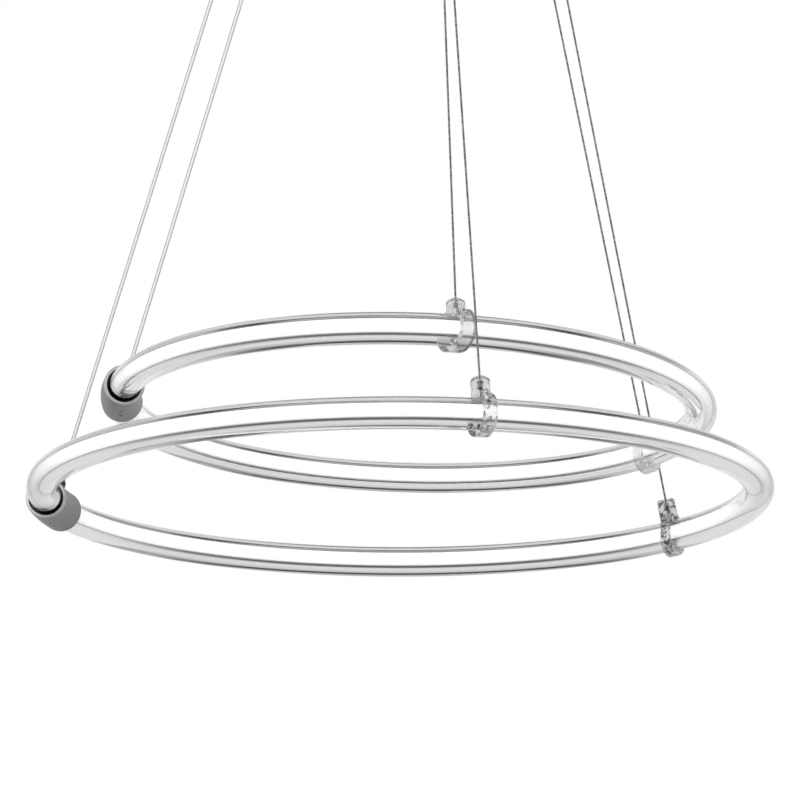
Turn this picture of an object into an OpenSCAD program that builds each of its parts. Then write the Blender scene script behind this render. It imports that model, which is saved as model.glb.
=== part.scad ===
// Pendant light with two clear rings, each hung from a round ceiling canopy by two steel wires
// and its own power cord. The origin is on the ceiling, at the centre of the bracket's top face.

/* [Tubes and light cores] */
// Outer diameter of the clear tube
tube_d = 35; // [30:1:38]
// Diameter of the white light core inside the tube
core_d = 14.8; // [14.4:0.1:15.6]
// Outer diameter of the smoked sleeve round the light core
sleeve_d = 17; // [16.6:0.1:17.4]
// Radial clearance of the light core in its sleeve and of the sleeve in the tube's bore
core_clear = 0.1; // [0.05:0.01:0.2]
// Height of the bore's centre above the tube's own centre
core_lift = 2.2; // [0:0.1:2.8]
// Width of the light strip inside the core
strip_w = 5; // [4:0.5:5]
// Thickness of the light strip
strip_t = 1; // [0.6:0.1:1.2]
// Distance from one light chip to the next along the strip
chip_pitch = 40; // [30:1:60]

/* [Lower ring] */
// Radius of the lower ring, to the middle of its tube
lower_r = 400; // [385:1:420]
// Height from the leaving points of the wires down to the lower ring
lower_hang = 951; // [900:1:1000]
// Sideways place of the lower ring's centre
lower_x = -22; // [-25:1:0]
// Angle of the lower ring's collar
lower_collar_angle = 169; // [160:1:175]
// Angles of the lower ring's near and far clips
lower_clip_angle = [-77.8, 37.8]; // [-90:0.1:60]
// Turn of each clip's band away from square, near and far
lower_clip_skew = [12, 28]; // [0:1:30]
// Height of each clip's boss above the tube's centre
lower_boss_h = 43; // [38:1:50]

/* [Upper ring] */
// Radius of the upper ring, to the middle of its tube
upper_r = 325; // [310:1:330]
// Height from the leaving points of the wires down to the upper ring
upper_hang = 854; // [840:1:880]
// Sideways place of the upper ring's centre
upper_x = -10; // [-15:1:0]
// Place of the upper ring's centre toward the back
upper_y = -2; // [-5:1:5]
// Lean of the upper ring toward the front and toward the right, as it hangs
upper_tilt = [-2.1, 1.5]; // [-2.5:0.1:2.5]
// Angle of the upper ring's collar
upper_collar_angle = 183.8; // [175:0.1:190]
// Angles of the upper ring's near and far clips
upper_clip_angle = [-81.8, 33]; // [-90:0.1:60]
// Turn of each clip's band away from square, near and far
upper_clip_skew = [25, 25]; // [0:1:30]
// Height of each clip's boss above the tube's centre
upper_boss_h = 36; // [34:1:44]

/* [Collars] */
// Outer diameter of the metal collar over the tube's joint
collar_d = 46; // [45:1:50]
// Wall of the collar
collar_wall = 2; // [1.5:0.1:2.5]
// Length of the collar along the ring
collar_len = 72; // [66:1:80]
// Radial width of the bright ring at each end of the collar
lip_w = 3.8; // [3:0.1:4]
// Length of the bright end rings
lip_len = 3; // [2:0.1:4]
// Depth of the black bush behind the collar's mouth
bush_depth = 4; // [2:0.5:6]
// Length of the black bush
bush_len = 10; // [6:0.5:12]
// Distance between the two ends of the tube inside the collar
joint_gap = 26; // [24:1:30]
// Diameter of the cord grip's head on the collar
grip_d = 15; // [12:0.5:18]
// Height of the cord grip's head above the collar
grip_h = 9; // [6:0.5:14]

/* [Clips] */
// Outer diameter of the clip's band round the tube
band_d = 48; // [45:1:52]
// Width of the clip's band
band_w = 13; // [10:0.5:16]
// Diameter of the clip's boss
boss_d = 21; // [18:0.5:24]
// Clearance of the clip's band on the tube
clip_clear = 0.3; // [0.2:0.05:0.5]
// Diameter of the crimped stop at the end of each wire
stop_d = 5; // [4:0.5:6]
// Length of the crimped stop
stop_len = 9; // [7:0.5:10]
// Diameter of the clip's clamp screw
clamp_screw_d = 3; // [2.5:0.5:4]
// Height of the clamp screw's angle round the band, near and far
clamp_screw_angle = [58, 14]; // [10:1:60]

/* [Wires and cords] */
// Diameter of the suspension wires
wire_d = 1.8; // [1.5:0.1:2]
// Diameter of the clear power cords
cord_d = 4.6; // [4:0.1:5]
// Clearance round a wire or cord where it slides through a fitting
slide_clear = 0.35; // [0.3:0.05:0.5]

/* [Ceiling canopy] */
// Diameter of the canopy
canopy_d = 300; // [270:1:330]
// Height of the canopy
canopy_h = 40; // [38:1:46]
// Wall of the canopy
canopy_wall = 1.2; // [1:0.1:2]
// Radius of the canopy's rounded lower edge
canopy_edge_r = 6; // [4:0.5:8]
// Distance of the upper ring's leaving points from the canopy's rim
upper_exit_inset = 55; // [52:1:58]
// Distance of the lower ring's leaving points from the canopy's rim
lower_exit_inset = 20; // [19:1:23]
// Angles of the upper ring's leaving points: cord, near wire and far wire
upper_exit_angle = [175, -82.1, 27.6]; // [-90:0.1:180]
// Angles of the lower ring's leaving points: cord, near wire and far wire
lower_exit_angle = [169.5, -85, 36.1]; // [-90:0.1:180]
// Width of the ceiling bracket
bracket_w = 40; // [30:1:44]
// Thickness of the ceiling bracket
bracket_t = 2; // [1.5:0.1:3]
// Distance of each fixing slot's middle from the canopy's rim
slot_inset = 50; // [47:1:55]
// Width of a fixing slot
slot_w = 5.2; // [4.5:0.1:6]
// Length of a fixing slot
slot_len = 14; // [10:1:20]
// Diameter of the canopy's two side screws
side_screw_d = 4; // [3:0.5:5]

/* [Wire grippers] */
// Length of each gripper and cord gland below the canopy
fitting_drop = 20; // [18:1:24]
// Diameter of the gripper's body
gripper_d = 12; // [11:0.5:14]
// Diameter of the gripper's threaded shank
shank_d = 10; // [9:0.5:10.5]
// Diameter of the release button's stem
button_d = 5; // [4.6:0.1:5.4]
// Running clearance of the release button's stem
button_clear = 0.06; // [0.03:0.01:0.09]
// Travel of the release button
button_travel = 3; // [2:0.1:3.4]
// Length of the button's stem that still stands out when it is pressed
button_left = 2; // [1.5:0.1:2.5]
// Diameter of the cord gland's body
gland_d = 16; // [14:0.5:18]

/* [Electrical unit] */
// Length of the driver case
driver_len = 124; // [110:1:130]
// Width of the driver case
driver_w = 38; // [34:1:42]
// Height of the driver case
driver_h = 26; // [20:1:27]

/* [Hidden] */
$fn = 72;
ring_fn = 240;
eps = 0.01;

// The two rings, and the two clips or wires on each
UPPER = 0;
LOWER = 1;
NEAR = 0;
FAR = 1;

// Where the wires and cords leave their fittings
exit_z = -(canopy_h + fitting_drop);

ring_r = [upper_r, lower_r];
ring_pos = [[upper_x, upper_y, exit_z - upper_hang], [lower_x, 0, exit_z - lower_hang]];
ring_tilt = [upper_tilt, [0, 0]];
collar_angle = [upper_collar_angle, lower_collar_angle];
clip_angle = [upper_clip_angle, lower_clip_angle];
clip_skew = [upper_clip_skew, lower_clip_skew];
boss_h = [upper_boss_h, lower_boss_h];
exit_angle = [upper_exit_angle, lower_exit_angle];

tube_r = tube_d / 2;
core_r = core_d / 2;
sleeve_r = sleeve_d / 2;
bore_r = sleeve_r + core_clear;
collar_r = collar_d / 2;
collar_bore_r = collar_r - collar_wall;
band_r = band_d / 2;
boss_r = boss_d / 2;
wire_r = wire_d / 2;
cord_r = cord_d / 2;
canopy_r = canopy_d / 2;
exit_r = [canopy_r - upper_exit_inset, canopy_r - lower_exit_inset];
slot_x = canopy_r - slot_inset;
seat_clear = 0.1;
touch_clear = 0.05;
bend_grow = 0.1;

// A point on a ring, given by its angle and its height over the tube's centre
function turn_x(a, p) = [p.x, p.y * cos(a) - p.z * sin(a), p.y * sin(a) + p.z * cos(a)];
function turn_y(a, p) = [p.x * cos(a) + p.z * sin(a), p.y, p.z * cos(a) - p.x * sin(a)];
function on_ring(i, a, h = 0) = ring_pos[i] + turn_y(ring_tilt[i].y,
    turn_x(ring_tilt[i].x, [ring_r[i] * cos(a), ring_r[i] * sin(a), h]));

// The point where a ring's cord or wire leaves the canopy's fittings: 0 is the cord's
function leaving(i, k) = [exit_r[i] * cos(exit_angle[i][k]), exit_r[i] * sin(exit_angle[i][k]), exit_z];
function arc_angle(i, len) = len / ring_r[i] * 180 / PI;
function length_of(v) = sqrt(v * v);

module in_ring(i) {
    translate(ring_pos[i]) rotate([ring_tilt[i].x, ring_tilt[i].y, 0]) children();
}

// Frame at an angle of a ring: X outward, Y along the tube, Z up
module at_angle(i, a) {
    in_ring(i) rotate([0, 0, a]) translate([ring_r[i], 0, 0]) children();
}

// A ring section swept from one angle on over a span
module sweep_ring(i, from, span) {
    in_ring(i) rotate([0, 0, from]) rotate_extrude(angle = span, $fn = ring_fn)
        translate([ring_r[i], 0]) children();
}

// Frame at point a with its Z axis pointing at point b
module toward(a, b) {
    d = b - a;
    translate(a) rotate([0, acos(d.z / length_of(d)), atan2(d.y, d.x)]) children();
}

module rod(a, b, r) {
    toward(a, b) cylinder(r = r, h = length_of(b - a));
}

module annulus(outer, inner) {
    difference() {
        circle(outer);
        circle(inner);
    }
}

module hex_nut(across, h, bore) {
    difference() {
        cylinder(d = across / cos(30), h = h, $fn = 6);
        translate([0, 0, -eps]) cylinder(r = bore, h = h + 2 * eps);
    }
}

// A pan-head screw that points up, with its head's underside at the origin
module pan_screw(d, len, head_d, head_h) {
    cylinder(d = d, h = len);
    difference() {
        translate([0, 0, -head_h]) cylinder(d1 = head_d * 0.8, d2 = head_d, h = head_h);
        translate([0, 0, -head_h]) cube([head_d * 0.7, head_d * 0.14, head_h], center = true);
        translate([0, 0, -head_h]) cube([head_d * 0.14, head_d * 0.7, head_h], center = true);
    }
}

// Ceiling bracket: a flat bar with two bent ends that take the canopy's side screws
tab_h = 22;
side_screw_z = -14;
tab_x = canopy_r - canopy_wall - seat_clear;

module bracket() {
    color("gainsboro") difference() {
        union() {
            translate([-tab_x, -bracket_w / 2, -bracket_t]) cube([2 * tab_x, bracket_w, bracket_t]);
            for (s = [0, 180]) rotate([0, 0, s])
                translate([tab_x - bracket_t, -tab_h / 2, -tab_h]) cube([bracket_t, tab_h, tab_h]);
        }
        for (s = [-1, 1]) translate([s * slot_x, 0, 0]) slot_cutter();
        translate([-tab_x - 1, 0, side_screw_z]) rotate([0, 90, 0])
            cylinder(d = side_screw_d + 2 * seat_clear, h = 2 * tab_x + 2);
        for (p = driver_screw_at) translate([p.x, p.y, -bracket_t - 1])
            cylinder(d = driver_screw_d + 2 * seat_clear, h = bracket_t + 2);
        translate([earth_x, 0, -bracket_t - 1]) cylinder(d = earth_d + 2 * seat_clear, h = bracket_t + 2);
        bracket_rim_cutter();
    }
}

module slot_cutter() {
    run = (slot_len - slot_w) / 2;
    translate([0, 0, -bracket_t - 1]) union() {
        for (s = [-1, 1]) translate([s * run, 0, 0]) cylinder(d = slot_w, h = bracket_t + 2);
        translate([-run, -slot_w / 2, 0]) cube([2 * run, slot_w, bracket_t + 2]);
    }
}

// Rounds the bar's ends to the inside of the canopy
module bracket_rim_cutter() {
    translate([0, 0, -tab_h - 1]) difference() {
        cylinder(r = canopy_r + 20, h = tab_h + 2);
        translate([0, 0, -1]) cylinder(r = tab_x, h = tab_h + 4);
    }
}

// Canopy: a spun cup, open to the ceiling, with a rounded lower edge
module canopy_half_section(r, h, edge) {
    translate([0, -h]) square([r - edge, h]);
    translate([0, -h + edge]) square([r, h - edge]);
    translate([r - edge, -h + edge]) intersection() {
        circle(edge);
        translate([0, -edge]) square(edge);
    }
}

module canopy() {
    color("white") difference() {
        rotate_extrude($fn = ring_fn) difference() {
            canopy_half_section(canopy_r, canopy_h, canopy_edge_r);
            translate([0, 1]) canopy_half_section(canopy_r - canopy_wall, canopy_h + 1 - canopy_wall,
                canopy_edge_r - canopy_wall);
        }
        for (i = [UPPER, LOWER]) {
            fitting_hole(leaving(i, 0), gland_shank_r);
            for (k = [1, 2]) fitting_hole(leaving(i, k), shank_d / 2);
        }
        translate([-canopy_r - 1, 0, side_screw_z]) rotate([0, 90, 0])
            cylinder(d = side_screw_d + 4 * seat_clear, h = canopy_d + 2);
    }
}

module fitting_hole(p, r) {
    translate([p.x, p.y, -canopy_h - 1]) cylinder(r = r + 2 * seat_clear, h = canopy_wall + 2);
}

module canopy_screws() {
    color("silver") for (s = [0, 180]) rotate([0, 0, s])
        translate([canopy_r + seat_clear, 0, side_screw_z]) rotate([0, -90, 0])
            pan_screw(side_screw_d, canopy_wall + bracket_t + 4, side_screw_d * 2, side_screw_d * 0.6);
}

earth_x = -80;
earth_d = 4;

module earth_screw() {
    color("goldenrod") translate([earth_x, 0, -bracket_t - seat_clear]) rotate([0, 0, 45])
        pan_screw(earth_d, bracket_t, earth_d * 2, earth_d * 0.6);
}

// Driver: a moulded case under the bracket, with an ear at each end
driver_x = 6;
driver_top = -bracket_t - 0.3;
case_corner = 4;
groove_pitch = 12;
groove_depth = 1;
ear_len = 10;
ear_h = 4;
driver_screw_d = 3;
driver_screw_at = [for (s = [-1, 1]) [driver_x + s * (driver_len / 2 + ear_len / 2), 0]];

module driver_case() {
    color("whitesmoke") difference() {
        union() {
            translate([driver_x, 0, driver_top - driver_h]) linear_extrude(driver_h)
                rounded_rect(driver_len, driver_w, case_corner);
            translate([driver_x, 0, driver_top - ear_h]) linear_extrude(ear_h)
                rounded_rect(driver_len + 2 * ear_len, driver_w / 2, case_corner);
        }
        for (p = driver_screw_at) translate([p.x, p.y, driver_top - ear_h - 1])
            cylinder(d = driver_screw_d + 2 * seat_clear, h = ear_h + 2);
        for (s = [-1, 1], n = [-3 : 3])
            translate([driver_x + n * groove_pitch, s * driver_w / 2, driver_top - driver_h / 2])
                cube([groove_pitch / 3, 2 * groove_depth, driver_h * 0.6], center = true);
    }
}

module rounded_rect(l, w, r) {
    square([l - 2 * r, w], center = true);
    square([l, w - 2 * r], center = true);
    for (x = [-1, 1], y = [-1, 1]) translate([x * (l / 2 - r), y * (w / 2 - r)]) circle(r);
}

module driver_screws() {
    color("silver") for (p = driver_screw_at) translate([p.x, p.y, driver_top - ear_h - seat_clear])
        pan_screw(driver_screw_d, ear_h + bracket_t, driver_screw_d * 2, driver_screw_d * 0.6);
}

// Mains terminal block, past the driver's far end
terminal_size = [24, 26, 14];
terminal_gap = 6;
terminal_x = slot_x + slot_len / 2 + terminal_gap;
way_pitch = terminal_size.y / 3;
way_bore_r = 1.6;
way_screw_r = 1.9;
way_screw_x = [terminal_size.x / 4, terminal_size.x * 3 / 4];
way_screw_len = 3.5;

module terminal_block() {
    color("ivory") translate([terminal_x, 0, driver_top - terminal_size.z]) difference() {
        translate([0, -terminal_size.y / 2, 0]) cube(terminal_size);
        for (n = [-1 : 1]) translate([0, n * way_pitch, 0]) {
            translate([-1, 0, terminal_size.z / 2]) rotate([0, 90, 0])
                cylinder(r = way_bore_r, h = terminal_size.x + 2);
            for (x = way_screw_x) translate([x, 0, -1])
                cylinder(r = way_screw_r + 2 * seat_clear, h = terminal_size.z / 2 + 1);
        }
        for (n = [-1, 1]) translate([terminal_size.x / 2, n * way_pitch / 2, 0])
            cube([terminal_size.x + 2, 0.8, 6], center = true);
    }
}

module terminal_screws() {
    color("silver") for (n = [-1 : 1], x = way_screw_x)
        translate([terminal_x + x, n * way_pitch, driver_top - terminal_size.z + 1]) difference() {
            cylinder(r = way_screw_r, h = way_screw_len);
            cube([3 * way_screw_r, 0.6, 1.6], center = true);
        }
}

// Mains leads, from the driver's end into the block's outer ways
lead_r = 1.2;
lead_end_x = terminal_x + way_screw_x[0];

module mains_leads() {
    start = driver_x + driver_len / 2 + touch_clear;
    color("lightgray") for (n = [-1, 1])
        translate([start, n * way_pitch, driver_top - terminal_size.z / 2]) rotate([0, 90, 0])
            cylinder(r = lead_r, h = lead_end_x - start);
}

// Wire grippers: body under the canopy, threaded shank through it, release button below
spring_wall = 0.6;
head_rim = 0.8;
cavity_r = button_d / 2 + head_rim + slide_clear;
mouth_h = 2;
wire_hole_r = wire_r + slide_clear;
body_h = fitting_drop - button_travel - button_left;
cavity_top = -(canopy_h + 3);
head_h = 3;
shank_up = 14;
gripper_edge = 1;
button_edge = 0.5;
gripper_nut_w = 16;
gland_nut_w = 18;
nut_h = 4;
head_z = -canopy_h - body_h + mouth_h + seat_clear;

module for_each_gripper() {
    for (i = [UPPER, LOWER], k = [1, 2]) translate([leaving(i, k).x, leaving(i, k).y, 0]) children();
}

module gripper_bodies() {
    color("silver") for_each_gripper() difference() {
        union() {
            translate([0, 0, -canopy_h - body_h])
                cylinder(d1 = gripper_d - 2 * gripper_edge, d2 = gripper_d, h = gripper_edge);
            translate([0, 0, -canopy_h - body_h + gripper_edge])
                cylinder(d = gripper_d, h = body_h - gripper_edge - seat_clear);
            translate([0, 0, -canopy_h - 1]) cylinder(d = shank_d, h = shank_up + 1);
        }
        translate([0, 0, -canopy_h - body_h - 1]) cylinder(r = button_d / 2 + button_clear, h = body_h);
        translate([0, 0, -canopy_h - body_h + mouth_h])
            cylinder(r = cavity_r, h = cavity_top + canopy_h + body_h - mouth_h);
        translate([0, 0, -canopy_h - body_h]) cylinder(r = wire_hole_r, h = body_h + shank_up + 1);
    }
}

module gripper_nuts() {
    color("silver") for_each_gripper() translate([0, 0, -canopy_h + canopy_wall + seat_clear])
        hex_nut(gripper_nut_w, nut_h, shank_d / 2 + seat_clear);
}

module release_button(i, k) {
    p = leaving(i, k + 1);
    color("dimgray") translate([p.x, p.y, 0]) difference() {
        union() {
            translate([0, 0, exit_z])
                cylinder(d1 = button_d - 2 * button_edge, d2 = button_d, h = button_edge);
            translate([0, 0, exit_z + button_edge]) cylinder(d = button_d, h = head_z - exit_z);
            translate([0, 0, head_z]) cylinder(r = cavity_r - slide_clear, h = head_h);
        }
        translate([0, 0, exit_z - 1]) cylinder(r = wire_hole_r, h = fitting_drop);
    }
}

module button_spring(i, k) {
    p = leaving(i, k + 1);
    low = head_z + head_h + touch_clear;
    color("silver") translate([p.x, p.y, low]) linear_extrude(cavity_top - low - touch_clear)
        annulus(cavity_r - slide_clear, cavity_r - slide_clear - spring_wall);
}

// Cord glands: round nose below the canopy, shank through it and a nut inside
gland_shank_r = 6;
gland_shank_up = 8;
cord_hole_r = cord_r + slide_clear;

module for_each_gland() {
    for (i = [UPPER, LOWER]) translate([leaving(i, 0).x, leaving(i, 0).y, 0]) children();
}

module cord_glands() {
    nose = fitting_drop / 2;
    color("dimgray") for_each_gland() difference() {
        union() {
            translate([0, 0, exit_z]) cylinder(d1 = gland_d * 0.6, d2 = gland_d, h = nose);
            translate([0, 0, exit_z + nose]) cylinder(d = gland_d, h = fitting_drop - nose - seat_clear);
            translate([0, 0, -canopy_h - 1]) cylinder(r = gland_shank_r, h = gland_shank_up + 1);
        }
        translate([0, 0, exit_z - 1]) cylinder(r = cord_hole_r, h = fitting_drop + gland_shank_up + 2);
    }
}

module gland_nuts() {
    color("dimgray") for_each_gland() translate([0, 0, -canopy_h + canopy_wall + seat_clear])
        hex_nut(gland_nut_w, nut_h, gland_shank_r + seat_clear);
}

// Ring parts. The tube's ends meet inside the collar, joint_gap apart.
function tube_from(i) = collar_angle[i] + arc_angle(i, joint_gap / 2);
function tube_span(i) = 360 - arc_angle(i, joint_gap);

module tube(i) {
    color([0.9, 0.95, 1, 0.4]) sweep_ring(i, tube_from(i), tube_span(i)) difference() {
        circle(tube_r);
        translate([0, core_lift]) circle(bore_r);
    }
}

module sleeve(i) {
    color("dimgray") sweep_ring(i, tube_from(i), tube_span(i)) translate([0, core_lift])
        annulus(sleeve_r, core_r + core_clear);
}

// Light core: an opal rod with a slot for the strip, that stands out at each end of the tube
core_stick_out = 1;
slot_radial = 3.4;
strip_gap = 0.3;
slot_up = strip_w + 2 * strip_gap;

module core(i) {
    extra = arc_angle(i, core_stick_out);
    color("white") sweep_ring(i, tube_from(i) - extra, tube_span(i) + 2 * extra)
        translate([0, core_lift]) difference() {
            circle(core_r);
            square([slot_radial, slot_up], center = true);
        }
}

module strip(i) {
    extra = arc_angle(i, (joint_gap - feed_size.y) / 2 - 2 * seat_clear);
    color("khaki") sweep_ring(i, tube_from(i) - extra, tube_span(i) + 2 * extra)
        translate([-slot_radial / 2 + strip_gap, core_lift - strip_w / 2]) square([strip_t, strip_w]);
}

// Light chips on the strip's outer face
chip_size = [0.8, 3, 3];

module chips(i) {
    count = floor(tube_span(i) / arc_angle(i, chip_pitch));
    step = tube_span(i) / count;
    color("gold") for (n = [0 : count - 1])
        at_angle(i, tube_from(i) + (n + 0.5) * step)
            translate([-slot_radial / 2 + strip_gap + strip_t + touch_clear + chip_size.x / 2, 0, core_lift])
                cube(chip_size, center = true);
}

module collar(i) {
    half = collar_len / 2;
    color("gray") difference() {
        sweep_ring(i, collar_angle[i] - arc_angle(i, half), arc_angle(i, collar_len))
            annulus(collar_r, collar_bore_r);
        grip_cutter(i, grip_stem_r + seat_clear);
        for (s = [-1, 1]) at_angle(i, collar_angle[i]) translate([0, s * set_screw_at, -collar_r - 1])
            cylinder(d = set_screw_d + 2 * seat_clear, h = collar_wall + 2);
    }
}

set_screw_at = 8;
set_screw_d = 3;
set_screw_key = 1.2;
grip_stem_r = 4;

// Frame at the tube's centre under the grip, with Z along the cord
module on_cord_line(i) {
    toward(on_ring(i, collar_angle[i]), leaving(i, 0)) children();
}

module grip_cutter(i, r) {
    on_cord_line(i) cylinder(r = r, h = collar_r + 3);
}

// Bright bevelled rings that close the collar's two mouths
outer_bevel = 1.2;
inner_bevel = 0.7;

module end_rings(i) {
    half = collar_len / 2 + seat_clear;
    inner = collar_r - lip_w;
    color("lightgray") for (s = [-1, 1])
        at_angle(i, collar_angle[i] + s * arc_angle(i, half)) rotate([-90 * s, 0, 0])
            rotate_extrude() polygon([[inner, inner_bevel], [inner + inner_bevel, 0], [collar_r, 0],
                [collar_r, lip_len - outer_bevel], [collar_r - outer_bevel, lip_len],
                [inner + inner_bevel, lip_len], [inner, lip_len - inner_bevel]]);
}

module bushes(i) {
    start = collar_len / 2 - bush_depth - bush_len;
    color("black") for (s = [0, 1])
        sweep_ring(i, collar_angle[i] + (s == 0 ? arc_angle(i, start) : -arc_angle(i, start + bush_len)),
            arc_angle(i, bush_len)) annulus(collar_bore_r - seat_clear, tube_r + seat_clear);
}

// Plug that keeps the tube's two ends apart and holds the feed terminal
plug_wall = 3;
plug_len = joint_gap - 2;

module joint_plug(i) {
    outer = collar_bore_r - seat_clear;
    color("black") difference() {
        sweep_ring(i, collar_angle[i] - arc_angle(i, plug_len / 2), arc_angle(i, plug_len))
            annulus(outer, outer - plug_wall);
        grip_cutter(i, grip_stem_r + 1);
        for (s = [-1, 1]) at_angle(i, collar_angle[i]) translate([0, s * set_screw_at, -collar_r - 1])
            cylinder(d = set_screw_d + 2 * seat_clear, h = plug_wall + collar_wall + 2);
    }
}

// Feed terminal: a small block that stands on the plug's floor
feed_size = [12, 16, 8];
feed_foot = [8, 10];
feed_pitch = 6;
feed_bore_r = 1.2;
feed_screw_r = 1.4;

module feed_terminal(i) {
    floor_z = -(collar_bore_r - seat_clear - plug_wall);
    rise = core_lift - feed_size.z / 2 - floor_z;
    color("ivory") at_angle(i, collar_angle[i]) difference() {
        union() {
            translate([-feed_size.x / 2, -feed_size.y / 2, core_lift - feed_size.z / 2]) cube(feed_size);
            intersection() {
                translate([-feed_foot.x / 2, -feed_foot.y / 2, floor_z - 1])
                    cube([feed_foot.x, feed_foot.y, rise + 2]);
                rotate([90, 0, 0])
                    cylinder(r = -floor_z - 2 * seat_clear, h = 2 * feed_size.y, center = true);
            }
        }
        for (s = [-1, 1]) translate([s * feed_pitch / 2, 0, core_lift]) {
            rotate([90, 0, 0]) cylinder(r = feed_bore_r, h = feed_size.y + 2, center = true);
            cylinder(r = feed_screw_r, h = feed_size.z);
        }
    }
}

module set_screws(i) {
    color("silver") for (s = [-1, 1]) at_angle(i, collar_angle[i])
        translate([0, s * set_screw_at, -collar_r + 0.4]) difference() {
            cylinder(d = set_screw_d, h = collar_wall + plug_wall - 1);
            translate([0, 0, -eps]) cylinder(d = set_screw_d / 2, h = set_screw_key, $fn = 6);
        }
}

// Cord grip on the collar: a stem through the wall and a tapered head outside it
grip_sweep = 30;
grip_stem_in = 2;
grip_skirt = 3;
grip_taper = 0.6;

module cord_grip(i) {
    color("black") difference() {
        on_cord_line(i) union() {
            translate([0, 0, collar_bore_r - grip_stem_in])
                cylinder(r = grip_stem_r, h = grip_stem_in + collar_wall + grip_h / 2);
            translate([0, 0, collar_r - grip_skirt]) cylinder(d = grip_d, h = grip_skirt + grip_h / 2);
            translate([0, 0, collar_r + grip_h / 2])
                cylinder(d1 = grip_d, d2 = grip_d * grip_taper, h = grip_h / 2);
        }
        difference() {
            sweep_ring(i, collar_angle[i] - arc_angle(i, grip_sweep / 2), arc_angle(i, grip_sweep))
                circle(collar_r + seat_clear);
            grip_cutter(i, grip_stem_r);
        }
        on_cord_line(i) cylinder(r = cord_r + seat_clear, h = collar_r + 2 * grip_h);
    }
}

// Power cord: from the feed terminal up to its gland, and over to the driver
cord_turn_z = driver_top - driver_h / 2 - 6;
cord_driver_y = [3, 12];
cord_end_gap = 0.5;
cord_start = core_lift + feed_size.z / 2 + cord_r + seat_clear;

module cord(i) {
    low = on_ring(i, collar_angle[i]);
    out = leaving(i, 0);
    up = [out.x, out.y, cord_turn_z];
    end = [driver_x - driver_len / 2 - cord_end_gap, cord_driver_y[i], cord_turn_z];
    color([0.9, 0.9, 0.9, 0.7]) {
        difference() {
            rod(low, out, cord_r);
            translate(low) sphere(cord_start);
        }
        rod(out, up, cord_r);
        rod(up, end, cord_r);
        for (p = [out, up]) translate(p) sphere(cord_r + bend_grow);
    }
}

// Clip: a band round the tube and a boss that takes the wire's end
boss_root = 8;
boss_chamfer = 2.4;
clip_sweep = 60;
clip_bore_sweep = 90;

module clip(i, k) {
    a = clip_angle[i][k];
    base = on_ring(i, a);
    out = leaving(i, k + 1);
    top = boss_h[i];
    color([0.92, 0.95, 0.97, 0.5]) difference() {
        union() {
            intersection() {
                sweep_ring(i, a - arc_angle(i, clip_sweep / 2), arc_angle(i, clip_sweep)) circle(band_r);
                at_angle(i, a) rotate([0, 0, clip_skew[i][k]])
                    cube([3 * band_r, band_w, 3 * band_r], center = true);
            }
            toward(base, out) {
                translate([0, 0, boss_root]) cylinder(r = boss_r, h = top - boss_chamfer - boss_root);
                translate([0, 0, top - boss_chamfer])
                    cylinder(r1 = boss_r, r2 = boss_r - boss_chamfer, h = boss_chamfer);
            }
        }
        sweep_ring(i, a - arc_angle(i, clip_bore_sweep / 2), arc_angle(i, clip_bore_sweep))
            circle(tube_r + clip_clear);
        toward(base, out) {
            cylinder(d = stop_d + 2 * seat_clear, h = stop_top(i) + seat_clear);
            cylinder(r = wire_hole_r, h = top + 1);
        }
        clamp_screw_place(i, k)
            cylinder(d = clamp_screw_d + 2 * seat_clear, h = screw_reach(i, k, band_r) + 2);
    }
}

stop_depth = 5;
function stop_top(i) = boss_h[i] - stop_depth;

// Frame of the clamp screw: Z points outward through the band, on the side that faces the viewer
module clamp_screw_place(i, k) {
    side = k == NEAR ? 0 : 180;
    at_angle(i, clip_angle[i][k]) rotate([0, 0, clip_skew[i][k] + side])
        rotate([0, 90 - clamp_screw_angle[k], 0]) children();
}

// How far a clamp screw's axis runs before it leaves a round of radius r about the tube
function screw_lean(i, k) = asin(cos(clamp_screw_angle[k]) * sin(clip_skew[i][k]));
function screw_reach(i, k, r) = r / cos(screw_lean(i, k));

clamp_screw_key = 1.5;
clamp_screw_out = 0.3;

module clamp_screws(i) {
    color("dimgray") for (k = [NEAR, FAR]) {
        low = screw_reach(i, k, tube_r) + clamp_screw_d / 2 * tan(screw_lean(i, k)) + 2 * seat_clear;
        high = screw_reach(i, k, band_r) + clamp_screw_out;
        clamp_screw_place(i, k) difference() {
            translate([0, 0, low]) cylinder(d = clamp_screw_d, h = high - low);
            translate([0, 0, high - clamp_screw_key])
                cylinder(d = clamp_screw_d / 2, h = 2 * clamp_screw_key, $fn = 6);
        }
    }
}

module wire_stops(i) {
    color("dimgray") for (k = [NEAR, FAR]) toward(on_ring(i, clip_angle[i][k]), leaving(i, k + 1))
        translate([0, 0, stop_top(i) - stop_len]) difference() {
            cylinder(d = stop_d, h = stop_len);
            cylinder(r = wire_r, h = 2 * stop_len);
        }
}

// Suspension wire: from its stop in the clip up to the gripper, through it and out as a short tail
tail_up = 6;

module wire(i, k) {
    base = on_ring(i, clip_angle[i][k]);
    out = leaving(i, k + 1);
    color("darkgray") {
        toward(base, out) translate([0, 0, stop_top(i) - stop_len])
            cylinder(r = wire_r, h = length_of(out - base) - stop_top(i) + stop_len);
        translate(out) sphere(wire_r + bend_grow);
        translate(out) cylinder(r = wire_r, h = fitting_drop + shank_up + tail_up);
    }
}

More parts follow.
